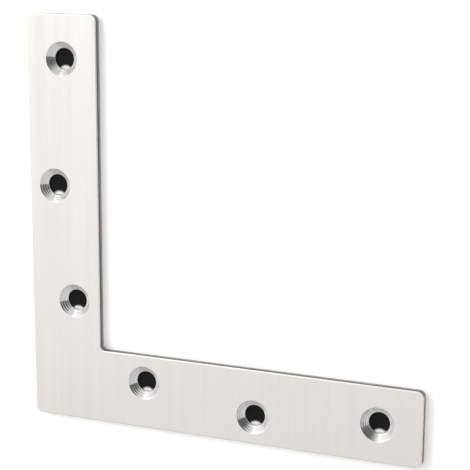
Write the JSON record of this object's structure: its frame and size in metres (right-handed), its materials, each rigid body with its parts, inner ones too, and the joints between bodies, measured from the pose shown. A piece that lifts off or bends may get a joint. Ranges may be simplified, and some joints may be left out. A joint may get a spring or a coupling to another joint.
{
  "type": "flat corner brace",
  "caption": "Flat L-shaped corner brace in brushed stainless plate, with equal legs, a rolled front edge and staggered countersunk screw holes.",
  "frame": {"origin": "point on the back face where the centrelines of the two legs cross", "axes": "+Z out of the front face, where the countersinks open; +X along one leg and +Y along the other"},
  "size_m": [0.15, 0.15, 0.003],
  "materials": {
    "stainless": "fine brushing along the Y leg on the faces, bright turned countersinks, plain blanked edges"
  },
  "bodies": {
    "root": {"brace": "stainless"}
  },
  "joints": []
}
